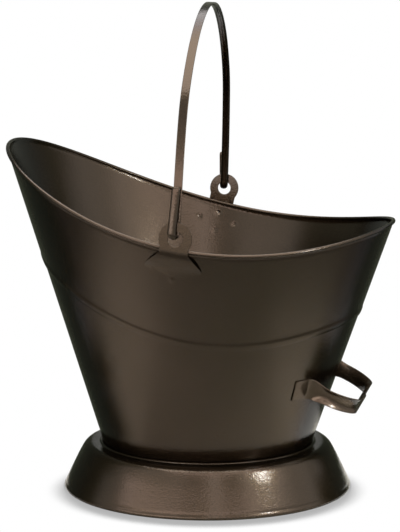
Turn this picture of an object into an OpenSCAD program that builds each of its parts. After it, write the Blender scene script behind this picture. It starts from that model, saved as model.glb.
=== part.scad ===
// Footed coal bucket: a flared hopper of two lapped sheets with a high pouring lip,
// a foot ring, two ears, a swinging bail and a strap handle at the rear for tipping.
// Millimetres. +Z is up, the lip points to -X and the rear handle to +X.

/* [Hopper wall] */
// Length of the mouth over its rolled rim, from lip to rear
mouth_l = 400.5; // [380:0.5:420]
// Thickness of the wall sheet
sheet = 0.8; // [0.6:0.1:1.2]
// Diameter of the wall where it meets the foot ring
neck_d = 217.5; // [190:0.5:240]
// Rearward shift of the wall's centre, mm per mm of height
wall_lean = 0.02; // [0:0.005:0.03]

/* [Mouth] */
// Height of the rolled rim at the pouring lip
lip_h = 358; // [330:1:380]
// Height of the rolled rim at the rear
rear_h = 280.5; // [260:0.5:300]
// Height of the rolled rim at the two sides
side_h = 271; // [255:0.5:285]
// How far the rim line is drawn up to a point at the lip
lip_point = 1.5; // [0:0.1:3]
// How much the rim line is flattened between lip, sides and rear
rim_flat = 0.8; // [0:0.1:2]
// Diameter of the wire inside the rolled rim
rim_wire_d = 2.2; // [1.6:0.1:3]

/* [Lap seam] */
// Height of the upper sheet's lower edge at the lip
lap_lip_h = 244.5; // [225:0.5:260]
// Height of the upper sheet's lower edge at the rear
lap_rear_h = 185.5; // [170:0.5:200]
// Height of the upper sheet's lower edge at the sides
lap_side_h = 173; // [160:0.5:190]
// How far the lower sheet runs up inside the upper one
lap_over = 14; // [10:1:25]
// How far the lower edge of the upper sheet is flared out
lap_flare = 0.6; // [0.2:0.1:2]
// Height of that flared band
lap_band = 9; // [6:0.5:12]

/* [Bottom] */
// Thickness of the bottom plate
plate_t = 1; // [0.8:0.1:1.5]
// How far the bottom plate lies below the shelf of the foot ring
plate_drop = 4; // [2:0.5:6]
// Depth of the bottom plate's turned-down flange
plate_flange = 7; // [5:0.5:9]

/* [Foot ring] */
// Outside diameter of the foot
foot_d = 300; // [260:1:340]
// Height of the foot ring's shelf above the floor
ring_h = 47.6; // [40:0.1:55]
// Inward slope of the skirt, mm of radius per mm of height
skirt_slope = 0.478; // [0.4:0.002:0.5]
// Radius of the rounded shoulder between shelf and skirt
shoulder_r = 11; // [7:0.5:13]
// Thickness of the foot ring's sheet
ring_t = 1; // [0.8:0.1:1.2]
// Depth of the collar that grips the hopper below the shelf
collar_h = 10; // [8:0.5:11]
// Diameter of the wire inside the rolled foot
foot_wire_d = 2.3; // [1.8:0.1:2.4]
// Width of the small bead where the shelf meets the hopper
bead_w = 2.9; // [2.4:0.1:3.4]

/* [Ears] */
// Thickness of the ear plates
ear_t = 1.5; // [1.2:0.1:2]
// Diameter of the ear's round head
ear_d = 32; // [28:0.5:36]
// Diameter of the hole in the ear
ear_hole_d = 14.2; // [12:0.1:16]
// Width of the ear's neck
ear_neck_w = 27.5; // [24:0.5:29]
// Where the near ear's foot stands round the wall, in degrees from the rear
near_angle = -89.9; // [-95:0.1:-85]
// Where the far ear's foot stands round the wall, in degrees from the rear
far_angle = 98.1; // [85:0.1:100]
// Height of the near ear's hole above the rim line
near_rise = 11.3; // [10:0.1:18]
// Height of the far ear's hole above the rim line
far_rise = 16.7; // [10:0.1:18]
// Rearward lean of the near ear, in degrees
near_lean_angle = 8; // [0:0.5:14]
// Rearward lean of the far ear, in degrees
far_lean_angle = 12; // [0:0.5:14]
// Half the width of the ear's spot-welded foot
ear_foot_w = 28; // [24:0.5:32]
// Length of the ear's spot-welded foot below the rim
ear_foot_l = 43; // [36:0.5:48]
// How far below the rim the ear's foot is widest
ear_wing = 19; // [16:0.5:22]
// How far below the rim the ear leaves the wall
ear_set = 16; // [14:0.5:20]
// How far below the rim the ear stands upright
ear_bend = 4.5; // [4:0.1:6]

/* [Bail] */
// Width of the half-round bail strip
bail_w = 8.6; // [6:0.1:8.8]
// Thickness of the half-round bail strip
bail_t = 3.4; // [2.6:0.1:4]
// Height of the bail's crown above the line of its hooks
bail_h = 212.5; // [190:0.5:216]
// How much the crown's radius exceeds half the distance between the ears' holes
crown_over = 8.08; // [-1:0.02:12]
// Radius of the bends beside the crown
bend_r = 90; // [80:1:100]
// Radius of the gently bowed legs
leg_r = 400; // [360:1:500]
// Clearance between the bail strip and an ear, each side
ear_gap = 1.3; // [1:0.1:1.6]
// Height of the near hook's tip above its hole
near_tip = 49; // [30:1:55]
// Height of the far hook's tip above its hole
far_tip = 40; // [30:1:55]
// Height of the hooks' bends above the middle of their holes
hook_lift = 4.5; // [4:0.1:5]
// How far the near hook's bend is set toward the lip
near_bend_set = 3.4; // [0:0.1:3.6]
// How far the far hook's bend is set toward the lip
far_bend_set = 1.5; // [0:0.1:2]
// How far the near hook's tip is set toward the lip
near_set = 0.8; // [0:0.1:4]
// How far the near hook's tip closes in on the leg
near_close = 2.8; // [0:0.1:3]
// How far the far hook's tip is set toward the lip
far_set = 3.1; // [0:0.1:4]
// Rearward lean of the standing bail, in degrees
bail_lean_angle = 2.5; // [0:0.5:5]

/* [Rear handle] */
// Thickness of the handle strap
strap_t = 1.2; // [1:0.1:1.6]
// Height of the strap's flat feet
foot_w = 20.5; // [18:0.5:22]
// Height of the strap where it is pressed to a trough
grip_w = 15; // [13:0.2:16]
// Depth of the trough
grip_depth = 3.4; // [2:0.1:4]
// Distance off the wall over which the strap is pressed from flat to trough
form_l = 16; // [12:0.5:20]
// Height of the strap's feet above the floor
handle_z = 119.8; // [100:0.5:140]
// How far the loop stands out from the wall's rearmost line
handle_out = 28.2; // [26:0.1:40]
// How far the loop drops between its feet and its end
handle_drop = 20.4; // [14:0.2:24]
// Half the width of the loop at its end
handle_half = 47; // [40:0.5:52]
// Plan direction of an arm where it leaves the wall, in degrees from straight back
arm_start_angle = -4; // [-10:1:20]
// Plan direction of an arm where it reaches the corner
arm_end_angle = 55; // [40:1:65]
// Length of the bend at each end of the grip
corner_l = 7; // [6:0.5:14]
// Angle round the wall, from the rear, where the strap leaves the wall
leave_angle = 30.2; // [27:0.1:33]
// Angle round the wall, from the rear, where the strap's foot ends
foot_angle = 39.5; // [37:0.1:42]

/* [Frame] */
// Shift that puts the middle of the object's width on the origin
frame_y = 0.5; // [-5:0.1:5]

/* [Hidden] */
// Running gap between sheets that lie on each other
fit_gap = 0.02;
// Gap between the ear and handle feet and the faceted wall
pad_gap = 0.12;
// Space between the rolled rim and an ear
rim_gap = 0.4;
// Space between a wire and the sheet rolled round it, at the rim and at the foot
roll_gap = 0.06;
curl_gap = 0.14;
// Gap between the bottom plate's flange and the wall
plate_gap = 0.2;
// How far the lower sheet reaches below the collar
tuck = 1;
// Size of the blunt corners of the ear's foot
ear_corner = 1.5;
// Steps round the hopper
wall_steps = 96;
// Steps round a rolled edge
roll_steps = 10;
roll_out = rim_wire_d / 2 + roll_gap + sheet;
roll_mid = roll_out - sheet / 2;
// Outward slope of the wall that gives the mouth its length
wall_slope = (mouth_l - neck_d - 2 * (fit_gap + sheet / 2 + roll_out) + wall_lean * (lip_h - rear_h))
    / (lip_h + rear_h - 2 * ring_h);
wall_deg = atan(wall_slope);
sheet_x = sheet / cos(wall_deg);
// How far below its middle the sheet bends into the roll, and where it meets the roll
roll_neck = 3.4;
roll_bend = 90 - acos(roll_mid / roll_neck);
$fn = 96;

// Rim and lap heights at angle a round the wall; 0 is the rear, 180 the lip
function rim_z(a) = let(m = (lip_h + rear_h) / 4, c1 = (rear_h - lip_h) / 2 + lip_point)
    m + side_h / 2 - rim_flat + c1 * cos(a) + (m - side_h / 2) * cos(2 * a)
    - lip_point * cos(3 * a) + rim_flat * cos(4 * a);
function lap_z(a) = let(m = (lap_lip_h + lap_rear_h) / 4)
    m + lap_side_h / 2 + (lap_rear_h - lap_lip_h) / 2 * cos(a) + (m - lap_side_h / 2) * cos(2 * a);
// Radius of the surface where the two wall sheets meet, and the wall's centre, at height z
function wall_r(z) = neck_d / 2 + wall_slope * (z - ring_h);
function wall_cx(z) = wall_lean * (z - ring_h);
function flare(e) = e >= lap_band ? 0 : lap_flare * pow(1 - e / lap_band, 2);
// Middle of the upper sheet at height z, and the middle of the rolled rim, which straddles it
function sheet_p(z, out = 0) = [wall_r(z) + fit_gap + sheet_x / 2 + out, z];
function roll_c(a) = sheet_p(rim_z(a));
// Shift that puts the middle of the mouth's length on the origin
frame_x = (wall_r(lip_h) - wall_r(rear_h) - wall_cx(lip_h) - wall_cx(rear_h)) / 2;

// Closed section swept round the wall: sec holds one list of [radius, height] per step
module wall_sweep(sec) {
    n = len(sec);
    m = len(sec[0]);
    points = [for (i = [0:n - 1]) let(a = 360 * i / n) for (p = sec[i])
        [wall_cx(p[1]) + p[0] * cos(a), p[0] * sin(a), p[1]]];
    faces = [for (i = [0:n - 1]) let(k = (i + 1) % n) for (j = [0:m - 1]) let(l = (j + 1) % m)
        for (f = [[i * m + j, i * m + l, k * m + l], [i * m + j, k * m + l, k * m + j]]) f];
    polyhedron(points = points, faces = faces, convexity = 6);
}

// Strip of thickness t whose middle line runs through the points of path
function turn_left(v) = [-v[1], v[0]];
function unit2(v) = v / norm(v);
function strip_side(path, off) = [for (i = [0:len(path) - 1])
    let(before = i > 0 ? unit2(path[i] - path[i - 1]) : unit2(path[1] - path[0]),
        after = i < len(path) - 1 ? unit2(path[i + 1] - path[i]) : before,
        mid = unit2(before + after))
    path[i] + turn_left(mid) * off / (mid * before)];
function reversed(list) = [for (i = [len(list) - 1:-1:0]) list[i]];
function strip(path, t) = concat(strip_side(path, t / 2), reversed(strip_side(path, -t / 2)));

module hopper_lower() {
    color("#4a4038")
    wall_sweep([for (i = [0:wall_steps - 1]) let(a = 360 * i / wall_steps,
            top = lap_z(a) + lap_over, low = ring_h - collar_h - tuck)
        [[wall_r(low) - fit_gap, low], [wall_r(top) - fit_gap, top],
         [wall_r(top) - fit_gap - sheet_x, top], [wall_r(low) - fit_gap - sheet_x, low]]]);
}

module hopper_upper() {
    from = 180 + roll_bend - wall_deg;
    to = -72 - wall_deg;
    color("#52463c")
    wall_sweep([for (i = [0:wall_steps - 1]) let(a = 360 * i / wall_steps, c = roll_c(a), low = lap_z(a))
        reversed(strip(concat(
            [for (k = [0, 0.17, 0.33, 0.5, 0.72, 1]) sheet_p(low + k * lap_band, flare(k * lap_band))],
            [sheet_p(c[1] - roll_neck * cos(wall_deg))],
            [for (k = [0:roll_steps]) let(b = from + (to - from) * k / roll_steps)
                c + roll_mid * [cos(b), sin(b)]]), sheet))]);
}

module rim_wire() {
    color("#8a8680")
    wall_sweep([for (i = [0:wall_steps - 1]) let(a = 360 * i / wall_steps)
        [for (k = [0:7]) roll_c(a) + rim_wire_d / 2 * [cos(45 * k), sin(45 * k)]]]);
}

module bottom_plate() {
    top = ring_h - plate_drop;
    edge = wall_r(top) - fit_gap - sheet_x - plate_gap;
    color("#463c34") translate([wall_cx(top - plate_flange / 2), 0, 0])
    rotate_extrude() polygon([[0, top - plate_t], [edge - 2.4 * plate_t, top - plate_t],
        [edge - plate_t - wall_slope * plate_flange, top - plate_flange],
        [edge - wall_slope * plate_flange, top - plate_flange],
        [edge - 0.5 * plate_t, top - 1.2 * plate_t], [edge - 1.4 * plate_t, top], [0, top]]);
}

foot_mid = foot_wire_d / 2 + curl_gap + ring_t / 2;
foot_cz = foot_mid * cos(15) + ring_t / 2;
skirt_deg = atan(skirt_slope);
function skirt_r(z) = foot_d / 2 + 0.8 - skirt_slope * z - ring_t / 2 / cos(skirt_deg);
foot_cr = skirt_r(foot_cz) - foot_mid / cos(skirt_deg);
shelf_z = ring_h - ring_t / 2;
collar_in = pad_gap + wall_lean * collar_h + ring_t / 2 / cos(wall_deg);
shoulder_c = [skirt_r(shelf_z) - shoulder_r * tan((90 - skirt_deg) / 2), shelf_z - shoulder_r];

module base_ring() {
    neck = wall_r(ring_h) + collar_in;
    path = concat(
        [[wall_r(ring_h - collar_h) + collar_in, ring_h - collar_h],
         for (q = [[-0.05, -0.31], [0.1, 0.07], [0.38, 0.19], [0.69, 0.07]]) [neck, ring_h] + bead_w * q,
         [neck + bead_w, shelf_z]],
        [for (k = [0:8]) let(b = 90 - (90 - skirt_deg) * k / 8) shoulder_c + shoulder_r * [cos(b), sin(b)]],
        [for (b = [skirt_deg, 0, -25, -50, -75, -105, -130, -155, -180, -205, -230])
            [foot_cr, foot_cz] + foot_mid * [cos(b), sin(b)]]);
    color("#4e433a") rotate_extrude() polygon(strip(path, ring_t));
}

module foot_wire() {
    color("#8a8680") rotate_extrude() translate([foot_cr, foot_cz]) circle(d = foot_wire_d, $fn = 24);
}

// Where an ear's plate and hole stand: at is round the wall, lean signed toward the rear
head_off = fit_gap + sheet_x / 2 + roll_out + rim_gap + ear_t / 2;
function ear_y(rise, lean) = -rise * sin(lean);
function hole_p(at, rise, lean) = let(z = rim_z(at), r = wall_r(z) + head_off, y = ear_y(rise, lean))
    [wall_cx(z) + r * cos(at) - y * sin(at), r * sin(at) + y * cos(at), z + rise * cos(lean)];
near_p = hole_p(near_angle, near_rise, -near_lean_angle);
far_p = hole_p(far_angle, far_rise, far_lean_angle);
hinge_v = far_p - near_p;
hinge_yaw = atan2(hinge_v[1], hinge_v[0]);
hinge_tilt = asin(hinge_v[2] / norm(hinge_v));
hinge_half = norm(hinge_v) / 2;

module ear(at, rise, lean, yaw) {
    z = rim_z(at);
    r = wall_r(z);
    on_wall = fit_gap + sheet_x + 2 * pad_gap;
    reach = head_off - ear_t / 2;
    below = 1.1 * ear_foot_l;
    side = [[wall_r(z - below) + on_wall, z - below], [wall_r(z - ear_set) + on_wall, z - ear_set],
            [r + reach, z - ear_bend], [r + reach, z - ear_bend / 3]];
    neck = ear_neck_w / 2;
    half = [[neck, -ear_bend / 3], [neck, -0.8 * ear_bend], [ear_foot_w - ear_corner, -ear_wing + 2 * ear_corner],
            [ear_foot_w, -ear_wing], [ear_foot_w - ear_corner, -ear_wing - 2 * ear_corner],
            [2 * ear_corner, -ear_foot_l + ear_corner / 2], [0, -ear_foot_l]];
    difference() {
        union() {
            // Foot that lies on the wall, and the set-off that clears the rolled rim
            translate([wall_cx(z - ear_wing), 0, 0]) rotate([0, 0, at]) intersection() {
                rotate_extrude(start = -12, angle = 24)
                    polygon(concat(side, [for (p = reversed(side)) p + [ear_t, 0]]));
                translate([r - 0.6 * ear_foot_l, 0, z]) rotate([lean, 0, 0]) rotate([90, 0, 90])
                    linear_extrude(ear_foot_l)
                        polygon(concat(half, [for (k = [5:-1:0]) [-half[k][0], half[k][1]]]));
            }
            // Upright head
            translate(hole_p(at, rise, lean)) rotate([0, 0, yaw]) rotate([lean, 0, 0]) rotate([90, 0, 90])
                linear_extrude(ear_t, center = true) {
                    circle(d = ear_d);
                    translate([-neck, -rise - ear_bend]) square([ear_neck_w, rise + ear_bend]);
                }
        }
        translate(hole_p(at, rise, lean)) rotate([0, 0, yaw]) rotate([0, 90, 0])
            cylinder(d = ear_hole_d, h = 10 * ear_t, center = true);
    }
}

module ear_near() {
    color("#5a4d42") ear(near_angle, near_rise, -near_lean_angle, hinge_yaw + 180);
}

module ear_far() {
    color("#5a4d42") ear(far_angle, far_rise, far_lean_angle, hinge_yaw);
}

// The bail is drawn in its own plane, x along the hinge line and y up from it
hook_r = (ear_t + 2 * ear_gap + bail_t) / 2;
leg_x = hinge_half - hook_r;
leg_c = [leg_x - leg_r, 0];
leg_from = asin(hook_lift / leg_r);
crown_r = hinge_half + crown_over;
crown_c = [0, bail_h - crown_r];
leg_d = leg_r - bend_r;
crown_d = crown_r - bend_r;
cc = crown_c - leg_c;
cc_a = (leg_d * leg_d - crown_d * crown_d + cc * cc) / (2 * norm(cc));
bend_c = leg_c + cc_a * unit2(cc) + sqrt(leg_d * leg_d - cc_a * cc_a) * turn_left(unit2(cc));
leg_to = atan2(bend_c[1] - leg_c[1], bend_c[0] - leg_c[0]);
crown_from = atan2(bend_c[1] - crown_c[1], bend_c[0] - crown_c[0]);

// Arc as [point, direction, shift toward the lip], the shift running from s0 to s1
function arc(c, r, from, to, n, s0 = 0, s1 = 0) = [for (k = [0:n]) let(a = from + (to - from) * k / n)
    [c + r * [cos(a), sin(a)], (to > from ? 1 : -1) * [-sin(a), cos(a)], s0 + (s1 - s0) * k / n]];
function skip_first(list) = [for (i = [1:len(list) - 1]) list[i]];
// Middle line, from the near hook's tip over the crown to the far one
bail_path = concat(
    [[[-leg_x - 2 * hook_r + near_close, near_tip], unit2([-near_close, hook_lift - near_tip]), near_set]],
    arc([-leg_x - hook_r, hook_lift], hook_r, 180, 360, 12, near_bend_set, 0),
    skip_first(arc([-leg_c[0], leg_c[1]], leg_r, 180 - leg_from, 180 - leg_to, 8)),
    skip_first(arc([-bend_c[0], bend_c[1]], bend_r, 180 - leg_to, 180 - crown_from, 6)),
    skip_first(arc(crown_c, crown_r, 180 - crown_from, crown_from, 34)),
    skip_first(arc(bend_c, bend_r, crown_from, leg_to, 6)),
    skip_first(arc(leg_c, leg_r, leg_to, leg_from, 8)),
    skip_first(arc([leg_x + hook_r, hook_lift], hook_r, -180, 0, 12, 0, far_bend_set)),
    [[[leg_x + 2 * hook_r, far_tip], [0, 1], far_set]]);
// Half-round section: [outward from the flat's middle line, along the width]
half_round = [for (k = [0:12]) let(b = 90 + 15 * k) [bail_t / 2 + bail_t * cos(b), bail_w / 2 * sin(b)]];

module bail() {
    n = len(bail_path);
    m = len(half_round);
    points = [for (s = bail_path) let(side = turn_left(s[1])) for (q = half_round)
        [s[0][0] + side[0] * q[0], s[0][1] + side[1] * q[0], q[1] - s[2]]];
    faces = concat(
        [for (i = [0:n - 2]) for (j = [0:m - 1]) let(l = (j + 1) % m)
            for (f = [[i * m + j, (i + 1) * m + l, i * m + l], [i * m + j, (i + 1) * m + j, (i + 1) * m + l]]) f],
        [for (j = [1:m - 2]) [0, j, j + 1]],
        [for (j = [1:m - 2]) [(n - 1) * m, (n - 1) * m + j + 1, (n - 1) * m + j]]);
    color("#5c4f45")
    translate((near_p + far_p) / 2) rotate([0, 0, hinge_yaw]) rotate([0, -hinge_tilt, 0])
        rotate([bail_lean_angle, 0, 0]) rotate([90, 0, 0]) polyhedron(points = points, faces = faces, convexity = 6);
}

// Rear handle: half of the strap's middle line, from the foot's end to the middle of the grip
function unit3(v) = v / norm(v);
function mix(a, b, t) = a * (1 - t) + b * t;
function ease(t) = let(c = min(1, max(0, t))) c * c * (3 - 2 * c);
function bend3(a, b, c, t) = mix(mix(a, b, t), mix(b, c, t), t);
strap_r = wall_r(handle_z) - fit_gap + pad_gap + strap_t / 2 / cos(wall_deg);
function on_strap(a) = [wall_cx(handle_z) + strap_r * cos(a), -strap_r * sin(a), handle_z];
leave_p = on_strap(leave_angle);
corner_p = [wall_cx(handle_z) + wall_r(handle_z) + handle_out, -handle_half, handle_z - handle_drop];
middle_p = [corner_p[0], 0, corner_p[2]];
fall = handle_drop / (corner_p[0] - leave_p[0]);
function arm_dir(a) = [cos(a), sin(a), -fall * cos(a)];
arm_stop = corner_p - corner_l * arm_dir(arm_end_angle);
arm_l = 0.36 * norm(corner_p - leave_p);
function arm_at(t) = pow(1 - t, 3) * leave_p + 3 * t * pow(1 - t, 2) * (leave_p + arm_l * arm_dir(arm_start_angle))
    + 3 * t * t * (1 - t) * (arm_stop - arm_l * arm_dir(arm_end_angle)) + t * t * t * arm_stop;
half_path = concat(
    [for (k = [0:3]) on_strap(foot_angle + (leave_angle + 2.2 - foot_angle) * k / 3)],
    [for (k = [1:4]) bend3(on_strap(leave_angle + 2.2), leave_p, arm_at(0.1), k / 4)],
    [for (k = [1:9]) arm_at(0.1 + 0.1 * k)],
    [for (k = [1:5]) bend3(arm_stop, corner_p, corner_p + [0, corner_l, 0], k / 5)],
    [for (k = [1:3]) mix(corner_p + [0, corner_l, 0], middle_p, k / 3)]);
strap_path = concat(half_path, [for (k = [len(half_path) - 2:-1:0])
    [half_path[k][0], -half_path[k][1], half_path[k][2]]]);
grip_angle = atan(fall);
function strap_up(p) = let(c = [wall_cx(handle_z), 0, handle_z],
        w = unit3([(p[0] - c[0]) * wall_slope / strap_r + wall_lean, (p[1] - c[1]) * wall_slope / strap_r, 1]),
        g = [sin(grip_angle), 0, cos(grip_angle)], d = max(0, norm([p[0] - c[0], p[1]]) - strap_r))
    unit3(mix(w, g, ease(d / form_l)));
function strap_form(p) = let(d = max(0, norm([p[0] - wall_cx(handle_z), p[1]]) - strap_r)) ease((d - strap_t) / form_l);
strap_q = [-1, -0.7, -0.35, 0, 0.35, 0.7, 1];

module rear_handle() {
    n = len(strap_path);
    m = 2 * len(strap_q);
    points = [for (i = [0:n - 1]) let(p = strap_path[i],
            t = unit3(strap_path[min(n - 1, i + 1)] - strap_path[max(0, i - 1)]),
            g0 = strap_up(p), g = unit3(g0 - (g0 * t) * t), side = cross(g, t), f = strap_form(p),
            h = mix(foot_w, grip_w, f) / 2, depth = grip_depth * f)
        for (s = [-1, 1]) for (k = [0:len(strap_q) - 1]) let(q = s < 0 ? strap_q[k] : -strap_q[k])
            p + g * h * q + side * (depth * (0.5 - q * q) - s * strap_t / 2)];
    faces = concat(
        [for (i = [0:n - 2]) for (j = [0:m - 1]) let(l = (j + 1) % m)
            for (f = [[i * m + j, (i + 1) * m + j, (i + 1) * m + l], [i * m + j, (i + 1) * m + l, i * m + l]]) f],
        [for (e = [0, n - 1]) for (k = [0:len(strap_q) - 2]) let(a = e * m + k, b = e * m + k + 1,
                c = e * m + m - 2 - k, d = e * m + m - 1 - k)
            for (f = e == 0 ? [[a, b, c], [a, c, d]] : [[a, c, b], [a, d, c]]) f]);
    color("#55483e") polyhedron(points = points, faces = faces, convexity = 6);
}

module placed() {
    translate([frame_x, frame_y, 0]) children();
}

placed() hopper_lower();
placed() hopper_upper();
placed() rim_wire();
placed() bottom_plate();
placed() base_ring();
placed() foot_wire();
placed() ear_near();
placed() ear_far();
placed() bail();
placed() rear_handle();
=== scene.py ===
from math import asin, atan, atan2, cos, degrees, pi, radians, sin, sqrt

import bpy
import numpy as np
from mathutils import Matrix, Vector


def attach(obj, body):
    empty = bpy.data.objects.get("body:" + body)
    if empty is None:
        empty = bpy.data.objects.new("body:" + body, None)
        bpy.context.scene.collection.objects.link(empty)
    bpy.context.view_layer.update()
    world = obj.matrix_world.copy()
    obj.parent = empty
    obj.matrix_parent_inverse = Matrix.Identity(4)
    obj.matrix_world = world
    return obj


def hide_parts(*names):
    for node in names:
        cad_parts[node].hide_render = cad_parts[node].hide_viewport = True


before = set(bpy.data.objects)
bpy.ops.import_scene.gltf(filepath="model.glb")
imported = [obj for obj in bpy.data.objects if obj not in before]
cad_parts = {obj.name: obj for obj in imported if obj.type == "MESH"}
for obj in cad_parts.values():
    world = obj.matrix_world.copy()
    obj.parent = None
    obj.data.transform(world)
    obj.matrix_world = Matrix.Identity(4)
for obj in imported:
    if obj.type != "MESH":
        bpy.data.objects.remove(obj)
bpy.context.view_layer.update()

# Everything is in metres in the model's own frame: +Z up, the pouring lip toward -X. This is where the
# bucket's own axis stands in that frame.
axisAt = np.array([0.00739, 0.0005, 0.0])

# The camera that the photograph's edges fit
viewpoint = {
    "place": (0.4082, -1.9962, 0.5178),
    "turn": (81.971, 0.0, 11.573),
    "focalPixels": 1988.1,
    "frameWidth": 400,
}
lens = bpy.data.cameras.new("camera")
lens.sensor_fit = "HORIZONTAL"
lens.sensor_width = 36.0
lens.lens = 36.0 * viewpoint["focalPixels"] / viewpoint["frameWidth"]
lens.clip_end = 50.0
camera = bpy.data.objects.new("camera", lens)
camera.location = viewpoint["place"]
camera.rotation_euler = [radians(a) for a in viewpoint["turn"]]
bpy.context.scene.collection.objects.link(camera)
bpy.context.scene.camera = camera
bpy.context.scene.view_settings.view_transform = "Standard"
print("camera set")


def smoothStep(t):
    # 0 before 0, 1 after 1, and 3 t squared less 2 t cubed between
    t = np.clip(t, 0.0, 1.0)
    return t * t * (3.0 - 2.0 * t)


def unit(v):
    return v / np.linalg.norm(v, axis=-1, keepdims=True)


def bezier(a, b, c, d, t):
    # cubic curve from a to d that leaves toward b and arrives from c
    t = np.asarray(t)[:, None]
    return (1 - t) ** 3 * a + 3 * t * (1 - t) ** 2 * b + 3 * t * t * (1 - t) * c + t ** 3 * d


def throughPoints(points, perSpan):
    # smooth curve through all points: each span bends by its neighbours (Catmull-Rom)
    p = np.asarray(points, float)
    ends = np.vstack([2 * p[0] - p[1], p, 2 * p[-1] - p[-2]])
    t = np.linspace(0, 1, perSpan, endpoint=False)[:, None]
    spans = [0.5 * (2 * b + (c - a) * t + (2 * a - 5 * b + 4 * c - d) * t ** 2
                    + (3 * b - a - 3 * c + d) * t ** 3)
             for a, b, c, d in zip(ends, ends[1:], ends[2:], ends[3:])]
    return np.vstack(spans + [p[-1:]])


def softOutline(corners, count, blur):
    # closed outline through the corners at equal steps, its corners rounded by a blur of that width
    loop = np.vstack([corners, corners[:1]]).astype(float)
    run = np.concatenate([[0], np.cumsum(np.linalg.norm(np.diff(loop, axis=0), axis=1))])
    finer = 8                   # blurred at this many times the points, then thinned
    fine = finer * count
    at = np.linspace(0, run[-1], fine, endpoint=False)
    line = np.stack([np.interp(at, run, loop[:, k]) for k in range(2)], -1)
    lag = np.minimum(np.arange(fine), fine - np.arange(fine)) * run[-1] / fine
    kernel = np.exp(-0.5 * (lag / blur) ** 2)
    soft = np.fft.ifft(np.fft.fft(line, axis=0) * np.fft.fft(kernel / kernel.sum())[:, None], axis=0).real
    return soft[::finer]


def thicken(path, thickness, capSteps=5):
    # a sheet's section: both faces lie half a thickness off the middle line path[n, k], and half circles
    # close its ends
    along = unit(np.gradient(path, axis=1))
    left = np.stack([-along[..., 1], along[..., 0]], -1)
    h = thickness / 2
    turn = np.linspace(0, pi, capSteps + 2)[1:-1][None, :, None]
    endCap = path[:, -1:] + h * (np.cos(turn) * left[:, -1:] + np.sin(turn) * along[:, -1:])
    startCap = path[:, :1] - h * (np.cos(turn) * left[:, :1] + np.sin(turn) * along[:, :1])
    return np.concatenate([path + h * left, endCap, (path - h * left)[:, ::-1], startCap], axis=1)


def aroundAxis(section, angles, centreX=0.0):
    # section[n, k] of (radius, height) at each angle becomes points round the bucket's axis
    x = centreX + section[..., 0] * np.cos(angles)[:, None]
    y = section[..., 0] * np.sin(angles)[:, None]
    return np.stack([x, y, section[..., 1]], -1) + axisAt


def addSurface(name, points, wrapRows, body, node, finish):
    # quads between neighbouring points[i, j]; columns always close, rows close or end in caps
    rows, cols, _ = points.shape
    i = np.arange(rows if wrapRows else rows - 1)[:, None]
    j = np.arange(cols)[None, :]
    iNext, jNext = (i + 1) % rows, (j + 1) % cols
    quads = np.stack([i * cols + j, iNext * cols + j, iNext * cols + jNext, i * cols + jNext], -1)
    quads = quads.reshape(-1, 4)
    flat = points.reshape(-1, 3)
    # the signed volume says whether the quads face outward
    a, b, c, d = (flat[quads[:, k]] for k in range(4))
    volume = np.einsum("ij,ij->i", a, np.cross(b, c) + np.cross(c, d)).sum()
    faces = (quads if volume > 0 else quads[:, ::-1]).tolist()
    if not wrapRows:
        first, last = list(range(cols)), list(range((rows - 1) * cols, rows * cols))
        faces += [first[::-1], last] if volume < 0 else [first, last[::-1]]
    mesh = bpy.data.meshes.new(name)
    mesh.from_pydata(flat.tolist(), [], faces)
    mesh.polygons.foreach_set("use_smooth", np.ones(len(faces), bool))
    mesh.update()
    mesh.materials.append(finish)
    piece = bpy.data.objects.new(name, mesh)
    bpy.context.scene.collection.objects.link(piece)
    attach(piece, body)
    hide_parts(node)
    print(name, "made,", len(faces), "faces")
    return piece


# The paint on everything but the wires
paintLook = {
    "deep": (0.029, 0.0195, 0.0100, 1),
    "light": (0.036, 0.0243, 0.0147, 1),
    "metallic": 0.94,
    "edge": (0.24, 0.24, 0.165, 1),     # how much the paint still reflects at a low angle
    "roughness": (0.22, 0.29),          # between the dull and the shiny flakes
    "coat": 0.35,                       # clear gloss over the bronze
    "coatRoughness": 0.10,
    "grainSize": 0.0016,                # orange peel
    "grainDepth": 0.00015,
    "flakeSize": 0.0005,
    "cloudSize": 0.045,
    "noiseSpan": (0.3, 0.7),            # the part of a noise's range that is spread over the shares below
    "cloudShare": (0.1, 0.6),           # how much of the light colour the clouds and the flakes each bring
    "flakeShare": (0.0, 0.4),
}


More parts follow.
